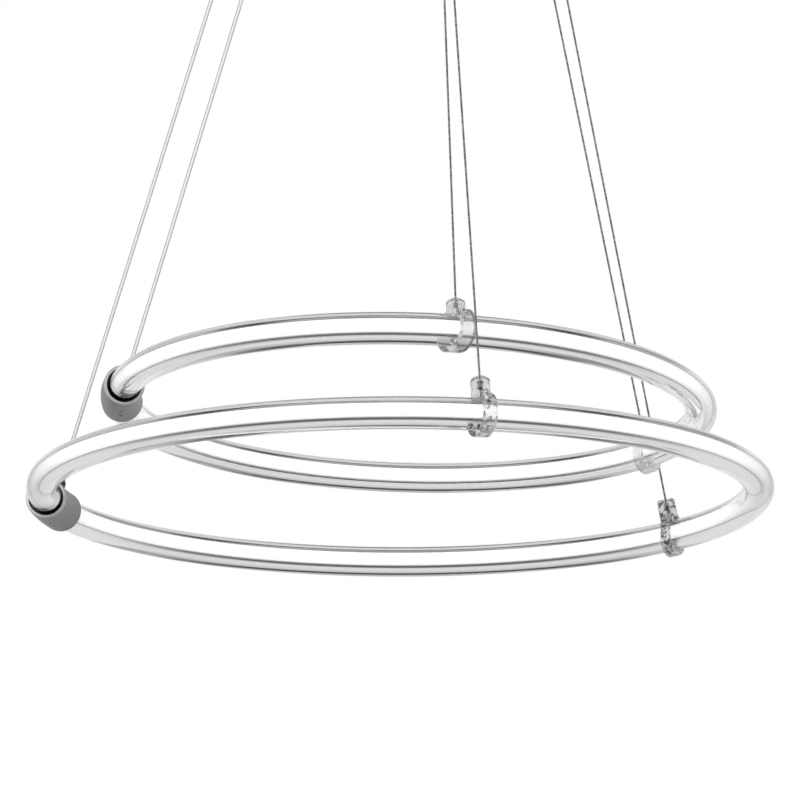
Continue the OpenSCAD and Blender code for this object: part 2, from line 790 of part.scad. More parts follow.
bracket();
canopy();
canopy_screws();
earth_screw();
driver_case();
driver_screws();
terminal_block();
terminal_screws();
mains_leads();
gripper_bodies();
gripper_nuts();
release_button(UPPER, NEAR);  // upper_near_button
release_button(UPPER, FAR);  // upper_far_button
release_button(LOWER, NEAR);  // lower_near_button
release_button(LOWER, FAR);  // lower_far_button
button_spring(UPPER, NEAR);  // upper_near_spring
button_spring(UPPER, FAR);  // upper_far_spring
button_spring(LOWER, NEAR);  // lower_near_spring
button_spring(LOWER, FAR);  // lower_far_spring
cord_glands();
gland_nuts();
tube(UPPER);  // upper_tube
sleeve(UPPER);  // upper_sleeve
core(UPPER);  // upper_core
strip(UPPER);  // upper_strip
chips(UPPER);  // upper_chips
collar(UPPER);  // upper_collar
end_rings(UPPER);  // upper_end_rings
bushes(UPPER);  // upper_bushes
joint_plug(UPPER);  // upper_joint_plug
feed_terminal(UPPER);  // upper_feed_terminal
set_screws(UPPER);  // upper_set_screws
cord_grip(UPPER);  // upper_cord_grip
cord(UPPER);  // upper_cord
clip(UPPER, NEAR);  // upper_near_clip
clip(UPPER, FAR);  // upper_far_clip
clamp_screws(UPPER);  // upper_clamp_screws
wire_stops(UPPER);  // upper_wire_stops
wire(UPPER, NEAR);  // upper_near_wire
wire(UPPER, FAR);  // upper_far_wire
tube(LOWER);  // lower_tube
sleeve(LOWER);  // lower_sleeve
core(LOWER);  // lower_core
strip(LOWER);  // lower_strip
chips(LOWER);  // lower_chips
collar(LOWER);  // lower_collar
end_rings(LOWER);  // lower_end_rings
bushes(LOWER);  // lower_bushes
joint_plug(LOWER);  // lower_joint_plug
feed_terminal(LOWER);  // lower_feed_terminal
set_screws(LOWER);  // lower_set_screws
cord_grip(LOWER);  // lower_cord_grip
cord(LOWER);  // lower_cord
clip(LOWER, NEAR);  // lower_near_clip
clip(LOWER, FAR);  // lower_far_clip
clamp_screws(LOWER);  // lower_clamp_screws
wire_stops(LOWER);  // lower_wire_stops
wire(LOWER, NEAR);  // lower_near_wire
wire(LOWER, FAR);  // lower_far_wire
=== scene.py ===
"""Looks of the ring pendant light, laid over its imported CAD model."""
import math

import bpy
import numpy as np
from mathutils import Matrix, Vector


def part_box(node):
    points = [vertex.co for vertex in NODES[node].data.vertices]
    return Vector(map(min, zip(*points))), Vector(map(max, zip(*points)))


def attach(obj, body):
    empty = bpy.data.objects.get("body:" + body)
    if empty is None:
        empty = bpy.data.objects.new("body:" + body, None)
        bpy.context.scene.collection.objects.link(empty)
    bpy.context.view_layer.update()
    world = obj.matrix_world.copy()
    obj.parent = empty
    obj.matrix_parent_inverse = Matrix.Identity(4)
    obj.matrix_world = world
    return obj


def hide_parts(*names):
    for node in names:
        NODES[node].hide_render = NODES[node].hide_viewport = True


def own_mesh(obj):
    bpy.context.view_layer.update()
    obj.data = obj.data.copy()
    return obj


bl_info = {
    "name": "Ring Pendant Light",
    "version": (1, 0, 0),
    "blender": (4, 5, 0),
    "location": "View3D > Sidebar > Pendant",
    "description": "Dresses the pendant light's CAD model with its clear tubes, wires and finishes",
    "category": "Object",
}

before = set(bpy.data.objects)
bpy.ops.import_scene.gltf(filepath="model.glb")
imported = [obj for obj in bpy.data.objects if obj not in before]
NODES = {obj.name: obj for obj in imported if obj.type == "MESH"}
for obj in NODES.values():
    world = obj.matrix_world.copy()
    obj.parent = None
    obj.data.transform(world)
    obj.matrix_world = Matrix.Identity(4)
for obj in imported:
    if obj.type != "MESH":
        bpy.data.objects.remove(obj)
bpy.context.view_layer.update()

CEILING = "ceiling_unit"
RINGS = ("upper", "lower")
WIRES = ("near", "far")

# Where each ring hangs, as in the part's source: metres and degrees
RING = {
    "upper": {
        "radius": 0.325, "centre": (-0.010, -0.002, -0.914), "tilt": (-2.1, 1.5),
        "collar": 183.8, "clips": (-81.8, 33.0), "boss": 0.036, "travel": 0.05,
        "exit_radius": 0.095, "exit_angles": (175.0, -82.1, 27.6), "driver_y": 0.003,
    },
    "lower": {
        "radius": 0.400, "centre": (-0.022, 0.0, -1.011), "tilt": (0.0, 0.0),
        "collar": 169.0, "clips": (-77.8, 37.8), "boss": 0.043, "travel": 0.25,
        "exit_radius": 0.130, "exit_angles": (169.5, -85.0, 36.1), "driver_y": 0.012,
    },
}
# Height at which the wires and cords leave the ceiling unit
EXIT_Z = -0.060
# Gap between a tube's two ends, and the collar over it
JOINT_GAP = 0.026
COLLAR_LENGTH = 0.072
COLLAR_BORE = 0.042
# Height of the bore and core over the tube's middle, and how far the core stands out of the tube's ends
CORE_LIFT = 0.0022
CORE_REACH = 0.001
# Radius of the black band round the core inside a collar, a painted shade that darkens the collar's mouth
CORE_SHADE_RADIUS = 0.0080
# Gap between faces that would otherwise lie in one plane
SEAT = 0.0001
# Section of a collar's end ring: radius, height out of the mouth, and which of its finishes starts there.
# Finish 1, black on the bore, is painted shade; finish 2, bright metal on the inner edge, is a painted
# highlight
LIP = (
    (0.0192, 0.0007, 1), (0.0199, 0.0, 1), (0.0225, 0.0, 1), (0.0225, 0.0006, 1),
    (0.0230, 0.0006, 0), (0.0230, 0.0018, 0), (0.0222, 0.0027, 0), (0.0207, 0.0030, 0),
    (0.0204, 0.0030, 2), (0.0200, 0.0026, 2), (0.0198, 0.0019, 1), (0.0192, 0.0014, 1),
)
LIP_FINISHES_AND_PAINTED_LIGHT = ("lip_metal", "black_plastic", "bright_metal")
# Wires: depth of the end in its boss, height over the boss at which the run starts, and length of the tail
WIRE_DEPTH = 0.014
WIRE_SPLIT = 0.001
WIRE_TAIL = 0.040
# Strands round a wire's middle one, sides of a strand, steps in each of its turns, and the fewest in a wire
OUTER_STRANDS = 6
STRAND_SIDES = 6
TURN_STEPS = 16
LEAST_STEPS = 12
# Cords, from the ring's centreline: where they start, and the top of the grip, where the run starts
CORD_START = 0.0086
GRIP_TOP = 0.0325
# Cords, inside the jacket
LEAD_RADIUS = 0.0004
FILLER_RADIUS = 0.0012
# Cord tails in the canopy: their height, where they end at the driver, and the radius of their bend
TAIL_Z = -0.0213
TAIL_END_X = -0.0565
TAIL_BEND = 0.011
# Release buttons: radius of the spring's wire, and steps in each of its turns
SPRING_WIRE = 0.0003
SPRING_STEPS = 24
# Rows of points along a ring and along a collar, and points round an end ring and round the floor
RING_ROWS = 541
COLLAR_ROWS = 25
LIP_SIDES = 96
FLOOR_SIDES = 96

# Clear plastic: refractive index, depth of the ripple, and colour and soft edge of the dark patches
CLEAR_IOR = 1.49
RIPPLE_DEPTH = 0.0002
DARK_PATCH_COLOUR = (0.03, 0.03, 0.031)
DARK_PATCH_EDGE = 0.08
# How much roughness changes over a surface, solid and clear, and the size of its clouds to that of its grain
SOLID_SWING = 0.06
CLEAR_SWING = 0.01
CLOUD_SCALE = 0.06
# Glow of the core by how far its surface faces up, -1 is down and 1 is up: dimmed towards its top and bottom,
# a painted shade
GLOW_PAINTED_SHADE = ((-1.0, 0.68), (-0.92, 0.80), (-0.75, 0.95), (-0.6, 1.0), (0.6, 1.0), (0.85, 0.92), (1.0, 0.68))
# Brightness of the studio that glass and metal show, by elevation in degrees
SURROUND = ((-90, 0.05), (-67, 0.07), (-55, 0.09), (-48, 0.14), (-42, 0.34), (-36, 0.58), (-28, 0.70),
            (0, 0.75), (20, 0.74), (36, 0.72), (44, 0.66), (48, 0.52), (51, 0.16), (54, 0.03), (59, 0.03),
            (62, 0.20), (66, 0.45), (72, 0.45), (80, 0.20), (90, 0.20))
# Dark things in the studio: azimuth to the right of the view and elevation in degrees, half width at which
# the darkness is full and at which it ends, and how much light it takes
DARK = ((36, 38, 6, 20, 0.58), (-36, 37, 7, 24, 0.28))
FLOOR_Z = -2.6
FLOOR_RADIUS = 2.2
LAMP_PLACE = (-3.0, -5.0, 1.2)
LAMP_AIM = (0.0, 0.0, -0.8)
LAMP_SIZE = 3.0
LAMP_POWER = 90.0
# Camera, fitted to the rings' edges in the photograph: place, yaw, pitch and roll in degrees, and lens in mm
CAMERA_PLACE = (-0.05755, -6.88558, -2.47443)
CAMERA_TURN = (0.292, 12.830, 0.012)
CAMERA_LENS = 283.253


# Places

def ring_matrix(ring):
    """Ring's own frame to the part's: leaned toward the front first, then toward the right."""
    front, right = (math.radians(a) for a in RING[ring]["tilt"])
    lean = Matrix.Rotation(right, 4, "Y") @ Matrix.Rotation(front, 4, "X")
    return Matrix.Translation(RING[ring]["centre"]) @ lean


def on_ring(ring, angle):
    """The point at an angle of a ring's centreline."""
    turn = math.radians(angle)
    radius = RING[ring]["radius"]
    return ring_matrix(ring) @ Vector((radius * math.cos(turn), radius * math.sin(turn), 0.0))


def leaving(ring, index):
    """Where a ring's cord (0), near wire (1) or far wire (2) leaves the ceiling unit."""
    turn = math.radians(RING[ring]["exit_angles"][index])
    radius = RING[ring]["exit_radius"]
    return Vector((radius * math.cos(turn), radius * math.sin(turn), EXIT_Z))


def arc_degrees(ring, length):
    """The angle of a length along a ring's centreline."""
    return math.degrees(length / RING[ring]["radius"])


def collar_end(ring, side):
    """Frame at one end of a ring's collar, with its Z axis pointing out of the mouth."""
    angle = RING[ring]["collar"] + side * arc_degrees(ring, COLLAR_LENGTH / 2 + SEAT)
    turned = ring_matrix(ring) @ Matrix.Rotation(math.radians(angle), 4, "Z")
    return (turned @ Matrix.Translation((RING[ring]["radius"], 0, 0))
            @ Matrix.Rotation(math.radians(-90 * side), 4, "X"))


def straight(start, end, steps):
    """Points along a straight line, with both its ends."""
    return [start.lerp(end, i / steps) for i in range(steps + 1)]


# Meshes

def mesh_object(name, verts, faces, material, sharp=40.0):
    """A smooth object of one finish, with a crease where faces meet at more than the sharp angle."""
    mesh = bpy.data.meshes.new(name)
    mesh.from_pydata([tuple(v) for v in verts], [], [tuple(f) for f in faces])
    mesh.polygons.foreach_set("use_smooth", [True] * len(mesh.polygons))
    mesh.set_sharp_from_angle(angle=math.radians(sharp))
    mesh.materials.append(material)
    mesh.validate()
    obj = bpy.data.objects.new(name, mesh)
    bpy.context.scene.collection.objects.link(obj)
    return obj


def joined(name, pieces, material, sharp=40.0):
    """One object from several lists of points and faces."""
    verts, faces, first = [], [], 0
    for v, f in pieces:
        verts.append(np.asarray(v))
        faces += [tuple(first + i for i in face) for face in f]
        first += len(v)
    return mesh_object(name, np.concatenate(verts), faces, material, sharp)


def circle_points(radius, sides, centre=(0.0, 0.0)):
    """Points of a circle, one in each row of an array."""
    turn = np.linspace(0, 2 * math.pi, sides, endpoint=False)
    return np.stack([centre[0] + radius * np.cos(turn), centre[1] + radius * np.sin(turn)], axis=1)


def placed(points, frame_matrix):
    """Points, one in each row, taken from a frame of their own to the part's."""
    return points @ frame_matrix[:3, :3].T + frame_matrix[:3, 3]


def tube_faces(rows, sides, caps=True):
    """Quads of a tube of that many rows, each with that many points, and with caps its two flat ends."""
    faces = []
    for row in range(rows - 1):
        for i in range(sides):
            here = row * sides + i
            beside = row * sides + (i + 1) % sides
            faces.append((here, beside, beside + sides, here + sides))
    if caps:
        last = (rows - 1) * sides
        faces.append(tuple(reversed(range(sides))))
        faces.append(tuple(range(last, last + sides)))
    return faces


def ring_sweep(name, ring, section, start, span, rows, material, caps=True):
    """Sweeps a section, given as points (outward, up) from the ring's centreline, along the ring."""
    ring_frame = np.array(ring_matrix(ring))
    out = RING[ring]["radius"] + section[:, 0]
    verts = []
    for turn in np.radians(np.linspace(start, start + span, rows)):
        row = np.stack([out * np.cos(turn), out * np.sin(turn), section[:, 1]], axis=1)
        verts.append(placed(row, ring_frame))
    faces = tube_faces(rows, len(section), caps)
    return mesh_object(name, np.concatenate(verts), [f[::-1] for f in faces], material)


def lathe(profile, place, sides):
    """Points and faces of a closed profile, of (radius, height), turned about a frame's Z axis."""
    verts, faces = [], []
    for row, (radius, height) in enumerate(profile):
        circle = np.column_stack([circle_points(radius, sides), np.full(sides, height)])
        verts.append(placed(circle, np.array(place)))
        here = row * sides
        above = (row + 1) % len(profile) * sides
        for i in range(sides):
            beside = (i + 1) % sides
            faces.append((here + i, here + beside, above + beside, above + i))
    return np.concatenate(verts), faces


def swept_line(points, radius, sides, twist=None):
    """Points and faces of a round line along points. twist = (offset, turns per metre, phase) winds it."""
    points = np.asarray(points, float)
    tangents = np.gradient(points, axis=0)
    tangents /= np.linalg.norm(tangents, axis=1)[:, None]
    side = np.cross(tangents[0], (0.0, 1.0, 0.0))
    if np.linalg.norm(side) < 0.1:
        side = np.cross(tangents[0], (1.0, 0.0, 0.0))
    sideways, upward = [], []
    for tangent in tangents:
        side = side - (side @ tangent) * tangent
        side /= np.linalg.norm(side)
        sideways.append(side)
        upward.append(np.cross(tangent, side))
    sideways, upward = np.array(sideways), np.array(upward)
    if twist:
        offset, turns, phase = twist
        run = np.concatenate([[0], np.cumsum(np.linalg.norm(np.diff(points, axis=0), axis=1))])
        turn = (run * turns * 2 * math.pi + phase)[:, None]
        points = points + offset * (np.cos(turn) * sideways + np.sin(turn) * upward)
    circle = circle_points(radius, sides)
    verts = points[:, None] + circle[:, 0, None] * sideways[:, None] + circle[:, 1, None] * upward[:, None]
    return verts.reshape(-1, 3), tube_faces(len(points), sides)


# Shader nodes

def shader(name):
    """A new finish, and its main node."""
    mat = bpy.data.materials.new(f"{name}_finish")
    mat.use_nodes = True
    return mat, mat.node_tree.nodes["Principled BSDF"]


def noise(mat, scale, detail=4.0):
    """A noise texture in the piece's own coordinates."""
    nodes, links = mat.node_tree.nodes, mat.node_tree.links
    coords = nodes.new("ShaderNodeTexCoord")
    tex = nodes.new("ShaderNodeTexNoise")
    tex.inputs["Scale"].default_value = scale
    tex.inputs["Detail"].default_value = detail
    links.new(coords.outputs["Object"], tex.inputs["Vector"])
    return tex.outputs["Fac"]


def spread(mat, socket, low, high):
    """Maps a texture's middle range to low..high."""
    node = mat.node_tree.nodes.new("ShaderNodeMapRange")
    node.inputs["From Min"].default_value = 0.3
    node.inputs["From Max"].default_value = 0.7
    node.inputs["To Min"].default_value = low
    node.inputs["To Max"].default_value = high
    mat.node_tree.links.new(socket, node.inputs["Value"])
    return node.outputs["Result"]


def two_tone(mat, socket, dark, light, low=0.3, high=0.7):
    """Turns a texture's range low..high into colours from dark to light."""
    ramp = mat.node_tree.nodes.new("ShaderNodeValToRGB")
    ramp.color_ramp.elements[0].position = low
    ramp.color_ramp.elements[0].color = (*dark, 1)
    ramp.color_ramp.elements[1].position = high
    ramp.color_ramp.elements[1].color = (*light, 1)
    mat.node_tree.links.new(socket, ramp.inputs["Fac"])
    return ramp.outputs["Color"]


def bump(mat, bsdf, socket, strength, depth):
    """Gives a surface the relief of a texture."""
    node = mat.node_tree.nodes.new("ShaderNodeBump")
    node.inputs["Strength"].default_value = strength
    node.inputs["Distance"].default_value = depth
    mat.node_tree.links.new(socket, node.inputs["Height"])
    mat.node_tree.links.new(node.outputs["Normal"], bsdf.inputs["Normal"])


def grey_by_lean(tree, direction, greys):
    """Greys by how far a direction points up, from pairs of (lean from -1 to 1, grey)."""
    nodes, links = tree.nodes, tree.links
    split = nodes.new("ShaderNodeSeparateXYZ")
    height = nodes.new("ShaderNodeMapRange")
    height.inputs["From Min"].default_value = -1.0
    ramp = nodes.new("ShaderNodeValToRGB")
    elements = ramp.color_ramp.elements
    while len(elements) < len(greys):
        elements.new(0.5)
    for element, (lean, grey) in zip(elements, greys):
        element.position = (lean + 1) / 2
        element.color = (grey, grey, grey, 1)
    links.new(direction, split.inputs["Vector"])
    links.new(split.outputs["Z"], height.inputs["Value"])
    links.new(height.outputs["Result"], ramp.inputs["Fac"])
    return ramp.outputs["Color"]


def either(tree, one, other):
    """A switch that is on where one of two is."""
    node = tree.nodes.new("ShaderNodeMath")
    node.operation = "MAXIMUM"
    tree.links.new(one, node.inputs[0])
    tree.links.new(other, node.inputs[1])
    return node.outputs["Value"]


def switched(tree, switch, off, on):
    """One shader where a switch is off, and another where it is on."""
    node = tree.nodes.new("ShaderNodeMixShader")
    tree.links.new(switch, node.inputs["Fac"])
    tree.links.new(off, node.inputs[1])
    tree.links.new(on, node.inputs[2])
    return node.outputs["Shader"]


# Finishes

def solid_finish(name, colour, rough, metal=0.0, swing=0.08, scale=400.0, relief=0.15, depth=0.00005):
    """A solid surface: fine grain in colour and roughness, and a shallow relief; with a wide swing, as on the
    steel wire, its colour's clouds are painted light and shade.
    """
    mat, bsdf = shader(name)
    grain = noise(mat, scale)
    cloud = noise(mat, scale * CLOUD_SCALE, detail=2.0)
    links = mat.node_tree.links
    dark = [c * (1 - swing) for c in colour]
    light = [min(1.0, c * (1 + swing)) for c in colour]
    links.new(two_tone(mat, cloud, dark, light), bsdf.inputs["Base Color"])
    links.new(spread(mat, grain, rough - SOLID_SWING, rough + SOLID_SWING), bsdf.inputs["Roughness"])
    bsdf.inputs["Metallic"].default_value = metal
    bump(mat, bsdf, grain, relief, depth)


def clear_finish(name, colour, rough, ripple, scale, cloud=0.0, dark_patches=0.0):
    """A clear plastic with a shallow ripple, and perhaps some cloud and dark patches, which lie where its
    ripple's noise is low.
    """
    mat, bsdf = shader(name)
    links = mat.node_tree.links
    bsdf.inputs["Base Color"].default_value = (*colour, 1)
    bsdf.inputs["Transmission Weight"].default_value = 1.0 - cloud
    bsdf.inputs["IOR"].default_value = CLEAR_IOR
    wave = noise(mat, scale, detail=2.0)
    if dark_patches:
        tone = two_tone(mat, wave, DARK_PATCH_COLOUR, colour, dark_patches - DARK_PATCH_EDGE, dark_patches)
        links.new(tone, bsdf.inputs["Base Color"])
    links.new(spread(mat, wave, rough - CLEAR_SWING, rough + CLEAR_SWING), bsdf.inputs["Roughness"])
    bump(mat, bsdf, wave, ripple, RIPPLE_DEPTH)


def jacket_finish(name, colour, alpha):
    """A thin clear jacket, of which only the gloss and a faint haze show."""
    mat, bsdf = shader(name)
    bsdf.inputs["Base Color"].default_value = (*colour, 1)
    bsdf.inputs["Alpha"].default_value = alpha
    mat.node_tree.links.new(spread(mat, noise(mat, 300.0), 0.1, 0.2), bsdf.inputs["Roughness"])


def smoked_finish(name, colour, density):
    """Smoked clear plastic: it bends no light, and takes more of it where it's seen edge-on."""
    mat, bsdf = shader(name)
    bsdf.inputs["Base Color"].default_value = (1, 1, 1, 1)
    bsdf.inputs["Transmission Weight"].default_value = 1.0
    bsdf.inputs["IOR"].default_value = 1.0
    bsdf.inputs["Roughness"].default_value = 0.0
    volume = mat.node_tree.nodes.new("ShaderNodeVolumeAbsorption")
    volume.inputs["Color"].default_value = (*colour, 1)
    volume.inputs["Density"].default_value = density
    mat.node_tree.links.new(volume.outputs["Volume"], mat.node_tree.nodes["Material Output"].inputs["Volume"])


def glow_finish(name, colour, strength):
    """The opal core: it glows, a little unevenly from chip to chip, and its glow is dimmed towards its top
    and bottom as a painted shade.
    """
    mat, bsdf = shader(name)
    nodes, links = mat.node_tree.nodes, mat.node_tree.links
    bsdf.inputs["Base Color"].default_value = (*colour, 1)
    bsdf.inputs["Roughness"].default_value = 0.5
    cloud = noise(mat, 25.0, detail=1.0)
    coords = nodes.new("ShaderNodeTexCoord")
    # Painted shade: the glow is dimmed where the core's surface faces up or down
    lean = grey_by_lean(mat.node_tree, coords.outputs["Normal"], GLOW_PAINTED_SHADE)
    glow_and_painted_shade = nodes.new("ShaderNodeMix")
    glow_and_painted_shade.data_type = "RGBA"
    glow_and_painted_shade.blend_type = "MULTIPLY"
    glow_and_painted_shade.inputs["Factor"].default_value = 1.0
    dimmer = [c * 0.97 for c in colour]
    links.new(two_tone(mat, cloud, dimmer, colour), glow_and_painted_shade.inputs["A"])
    links.new(lean, glow_and_painted_shade.inputs["B"])
    links.new(glow_and_painted_shade.outputs["Result"], bsdf.inputs["Emission Color"])
    bsdf.inputs["Emission Strength"].default_value = strength
    mat.cycles.emission_sampling = "NONE"


def make_finishes(colours):
    """Every finish of the light. Most have the name of a slot in the record."""
    clear_finish("clear_tube", (0.99, 0.995, 1.0), rough=0.01, ripple=0.013, scale=14.0)
    glow_finish("light_core", colours.glow_colour, colours.glow_strength)
    smoked_finish("smoked_sleeve", (0.0, 0.0, 0.0), colours.smoke_density)
    solid_finish("strip_board", (0.86, 0.84, 0.76), rough=0.5, scale=300)
    solid_finish("chip_lens", (0.95, 0.82, 0.3), rough=0.3, scale=900)
    solid_finish("satin_metal", colours.collar_colour, rough=0.4, metal=0.25, swing=0.05, scale=1500,
                 relief=0.08, depth=0.00003)
    solid_finish("bright_metal", colours.bright_colour, rough=0.24, metal=1.0, swing=0.05, scale=1200,
                 relief=0.08, depth=0.00003)
    solid_finish("black_plastic", (0.012, 0.012, 0.013), rough=0.32, swing=0.25, scale=1200, relief=0.12)
    solid_finish("ivory_plastic", (0.8, 0.76, 0.64), rough=0.42, scale=700)
    clear_finish("clear_clip", (0.86, 0.87, 0.88), rough=0.05, ripple=0.3, scale=170.0, cloud=0.15)
    clear_finish("marked_clip", (0.92, 0.93, 0.94), rough=0.03, ripple=0.5, scale=230.0, cloud=0.12,
                 dark_patches=0.43)
    clear_finish("dark_clip", (0.86, 0.87, 0.88), rough=0.03, ripple=0.5, scale=200.0, cloud=0.15,
                 dark_patches=0.48)
    # Steel wire: the wide swing of its colour paints light and dark blotches along it, painted glints and
    # shade of its strands' twist
    solid_finish("steel_wire", (0.28, 0.28, 0.288), rough=0.34, metal=0.5, swing=0.6, scale=4500)
    jacket_finish("clear_cord", (0.97, 0.97, 0.97), alpha=0.08)
    solid_finish("dark_steel", (0.1, 0.1, 0.105), rough=0.36, metal=0.8, scale=1500)
    solid_finish("spring_steel", (0.5, 0.5, 0.5), rough=0.3, metal=1.0, scale=1500)
    solid_finish("white_paint", colours.canopy_colour, rough=0.45, swing=0.02, scale=700, relief=0.2,
                 depth=0.00008)
    solid_finish("white_plastic", (0.8, 0.8, 0.79), rough=0.45, scale=900)
    solid_finish("zinc_steel", (0.62, 0.62, 0.6), rough=0.38, metal=1.0, swing=0.14, scale=600)
    solid_finish("brass", (0.76, 0.56, 0.24), rough=0.3, metal=1.0, scale=900)
    solid_finish("lead_jacket", (0.55, 0.55, 0.56), rough=0.5, scale=900)
    solid_finish("lip_metal", (0.52, 0.52, 0.525), rough=0.3, metal=0.35, swing=0.05, scale=1200,
                 relief=0.08, depth=0.00003)
    solid_finish("filler_white", (0.93, 0.93, 0.93), rough=0.45, swing=0.02, scale=900)
    solid_finish("lead_silver", (0.31, 0.31, 0.315), rough=0.4, metal=0.3, scale=900)


def finish_of(name):
    """The finish of that name, once it is made."""
    return bpy.data.materials[f"{name}_finish"]


def dress(finish, *names):
    """Gives a finish to CAD nodes that keep their shape."""
    for name in names:
        node = NODES[name]
        node.data.materials.clear()
        node.data.materials.append(finish_of(finish))


def settle(piece, body, slot, *nodes):
    """A finished piece rides on its body, and stands for its CAD nodes."""
    if nodes:
        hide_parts(*nodes)
    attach(piece, body)


# Settings

class PendantSizes(bpy.types.PropertyGroup):
    """Sizes of the pieces that the scene makes"""
    tube_diameter: bpy.props.FloatProperty(
        name="Tube diameter", description="Outer diameter of the clear tube", default=0.035, unit="LENGTH")
    bore_diameter: bpy.props.FloatProperty(
        name="Bore diameter", description="Diameter of the clear tube's bore", default=0.0172, unit="LENGTH")
    sleeve_diameter: bpy.props.FloatProperty(
        name="Sleeve diameter", description="Outer diameter of the smoked sleeve", default=0.0170,
        unit="LENGTH")
    core_diameter: bpy.props.FloatProperty(
        name="Core diameter", description="Diameter of the glowing core", default=0.0148, unit="LENGTH")
    wire_diameter: bpy.props.FloatProperty(
        name="Wire diameter", description="Diameter over a suspension wire's strands", default=0.0024,
        unit="LENGTH")
    wire_pitch: bpy.props.FloatProperty(
        name="Wire lay", description="Length in which a strand goes round the wire once", default=0.024,
        unit="LENGTH")
    cord_diameter: bpy.props.FloatProperty(
        name="Cord diameter", description="Outer diameter of a power cord", default=0.0046, unit="LENGTH")
    lead_spacing: bpy.props.FloatProperty(
        name="Lead spacing", description="Distance between the middles of a cord's two leads",
        default=0.0035, unit="LENGTH")
    spring_turns: bpy.props.FloatProperty(
        name="Spring turns", description="Turns of a release button's spring", default=5.0)


class PendantColours(bpy.types.PropertyGroup):
    """Colours of the finishes"""
    glow_colour: bpy.props.FloatVectorProperty(
        name="Glow", description="Colour of the light core", subtype="COLOR", default=(1.0, 1.0, 1.0))
    glow_strength: bpy.props.FloatProperty(
        name="Glow strength", description="Brightness of the light core", default=1.05)
    smoke_density: bpy.props.FloatProperty(
        name="Smoke density", description="Light taken by the smoked sleeve, per metre", default=80.0)
    collar_colour: bpy.props.FloatVectorProperty(
        name="Collar", description="Colour of the satin collars", subtype="COLOR",
        default=(0.21, 0.21, 0.212))
    bright_colour: bpy.props.FloatVectorProperty(
        name="Bright metal", description="Colour of the bright metal parts", subtype="COLOR",
        default=(0.8, 0.8, 0.81))
    canopy_colour: bpy.props.FloatVectorProperty(
        name="Canopy", description="Colour of the ceiling canopy", subtype="COLOR",
        default=(0.8, 0.8, 0.79))


# Operators

class PENDANT_OT_finishes(bpy.types.Operator):
    """Make the finishes and give them to the CAD pieces that keep their shape"""
    bl_idname = "pendant.finishes"
    bl_label = "Finishes"

    def execute(self, context):
        make_finishes(context.scene.pendant_colours)
        for ring in RINGS:
            dress("strip_board", f"{ring}_strip")
            dress("chip_lens", f"{ring}_chips")
            dress("satin_metal", f"{ring}_collar", f"{ring}_set_screws")
            dress("black_plastic", f"{ring}_bushes", f"{ring}_joint_plug", f"{ring}_cord_grip")
            dress("ivory_plastic", f"{ring}_feed_terminal")
            dress("dark_steel", f"{ring}_clamp_screws", f"{ring}_wire_stops")
            dress("bright_metal", f"{ring}_near_button", f"{ring}_far_button")
        dress("clear_clip", "upper_near_clip", "upper_far_clip")
        dress("marked_clip", "lower_near_clip")
        dress("dark_clip", "lower_far_clip")
        dress("white_paint", "canopy")
        dress("zinc_steel", "bracket", "canopy_screws", "driver_screws", "terminal_screws")
        dress("brass", "earth_screw")
        dress("white_plastic", "driver_case")
        dress("ivory_plastic", "terminal_block")
        dress("lead_jacket", "mains_leads")
        dress("bright_metal", "gripper_bodies", "gripper_nuts")
        dress("black_plastic", "cord_glands", "gland_nuts")
        return {"FINISHED"}


class PENDANT_OT_tubes(bpy.types.Operator):
    """Make the clear tubes, with their smoked sleeves and glowing cores"""
    bl_idname = "pendant.tubes"
    bl_label = "Tubes and cores"

    def execute(self, context):
        sizes = context.scene.pendant_sizes
        # Piece, its node, radius, height over the tube's middle, sides, how far it stands out, slot
        layers = (
            ("tube_clear", "tube", sizes.tube_diameter / 2, 0.0, 96, 0.0, "clear_tube"),
            ("bore_round", "tube", sizes.bore_diameter / 2, CORE_LIFT, 64, 0.0, "clear_tube"),
            ("sleeve_round", "sleeve", sizes.sleeve_diameter / 2, CORE_LIFT, 48, 0.0, "smoked_sleeve"),
            ("core_round", "core", sizes.core_diameter / 2, CORE_LIFT, 40, CORE_REACH, "light_core"),
        )
        for ring in RINGS:
            gap = arc_degrees(ring, JOINT_GAP)
            for layer, node, radius, lift, sides, reach, slot in layers:
                extra = arc_degrees(ring, reach)
                start = RING[ring]["collar"] + gap / 2 - extra
                span = 360 - gap + 2 * extra
                piece = ring_sweep(f"{ring}_{layer}", ring, circle_points(radius, sides, (0.0, lift)),
                                   start, span, RING_ROWS, finish_of(slot))
                settle(piece, f"{ring}_ring", slot, f"{ring}_{node}")
                if layer == "bore_round":
                    piece.data.flip_normals()
                if layer == "core_round":
                    piece.visible_diffuse = False
        return {"FINISHED"}


